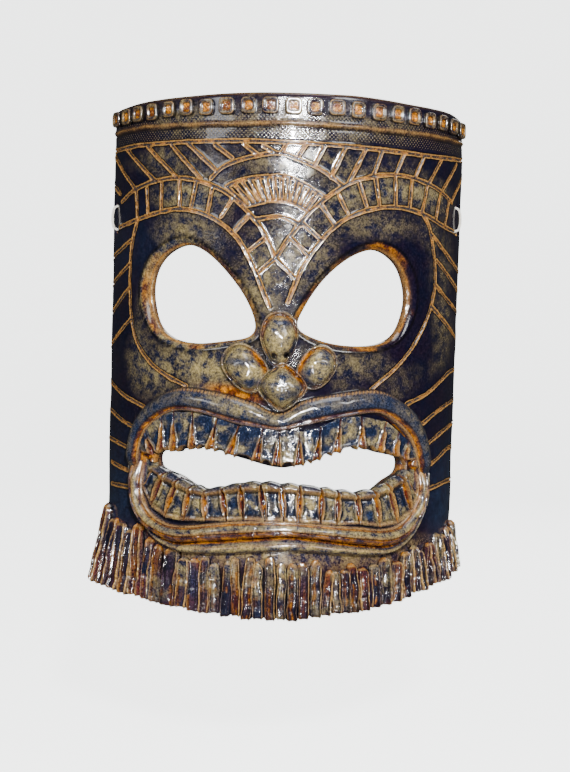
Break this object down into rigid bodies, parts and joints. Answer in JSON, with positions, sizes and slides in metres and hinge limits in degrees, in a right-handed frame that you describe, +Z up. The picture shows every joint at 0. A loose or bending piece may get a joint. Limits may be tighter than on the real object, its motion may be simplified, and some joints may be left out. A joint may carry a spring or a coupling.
{
  "type": "tiki wall mask",
  "caption": "Curved stoneware tiki wall mask with cut-out eyes and mouth, folded clay teeth, stamped rim, clay strand fringe and a cord across its open back.",
  "frame": {"origin": "the point where the hanging cord lies over its nail, on the plane of the wall that the mask hangs on", "axes": "+Z up, +Y into the wall, so the face looks along -Y, and +X to the right as seen from the front"},
  "size_m": [0.2464, 0.0862, 0.3175],
  "materials": {
    "slab_glaze": "glossy mottled midnight blue and khaki glaze over brown stoneware",
    "stamp_glaze": "glossy amber and tan glaze broken over stamped pads",
    "lip_glaze": "glossy khaki and blue-grey glaze",
    "teeth_glaze": "glossy tan glaze with red-brown in the folds",
    "nose_glaze": "glossy tan and blue glaze",
    "fringe_glaze": "glossy tan over purple-brown glaze",
    "cord_cotton": "white twisted cotton cord"
  },
  "bodies": {
    "root": {"cord_knot_left": "cord_cotton", "cord_knot_right": "cord_cotton", "fringe_strand_01": "fringe_glaze", "fringe_strand_02": "fringe_glaze", "fringe_strand_03": "fringe_glaze", "fringe_strand_04": "fringe_glaze", "fringe_strand_05": "fringe_glaze", "fringe_strand_06": "fringe_glaze", "fringe_strand_07": "fringe_glaze", "fringe_strand_08": "fringe_glaze", "fringe_strand_09": "fringe_glaze", "fringe_strand_10": "fringe_glaze", "fringe_strand_11": "fringe_glaze", "fringe_strand_12": "fringe_glaze", "fringe_strand_13": "fringe_glaze", "fringe_strand_14": "fringe_glaze", "fringe_strand_15": "fringe_glaze", "fringe_strand_16": "fringe_glaze", "fringe_strand_17": "fringe_glaze", "fringe_strand_18": "fringe_glaze", "fringe_strand_19": "fringe_glaze", "fringe_strand_20": "fringe_glaze", "fringe_strand_21": "fringe_glaze", "fringe_strand_22": "fringe_glaze", "fringe_strand_23": "fringe_glaze", "fringe_strand_24": "fringe_glaze", "fringe_strand_25": "fringe_glaze", "fringe_strand_26": "fringe_glaze", "fringe_strand_27": "fringe_glaze", "fringe_strand_28": "fringe_glaze", "fringe_strand_29": "fringe_glaze", "fringe_strand_30": "fringe_glaze", "fringe_strand_31": "fringe_glaze", "fringe_strand_32": "fringe_glaze", "fringe_strand_33": "fringe_glaze", "fringe_strand_34": "fringe_glaze", "fringe_strand_35": "fringe_glaze", "fringe_strand_36": "fringe_glaze", "fringe_strand_37": "fringe_glaze", "fringe_strand_38": "fringe_glaze", "hanging_cord": "cord_cotton", "lower_lip": "lip_glaze", "lower_lip_coil": "lip_glaze", "lower_teeth": "teeth_glaze", "nose_bridge": "nose_glaze", "nose_tip": "nose_glaze", "nostril_left": "nose_glaze", "nostril_right": "nose_glaze", "rim_stamps": "stamp_glaze", "slab_wall": "slab_glaze", "upper_lip": "lip_glaze", "upper_teeth": "teeth_glaze"}
  },
  "joints": []
}
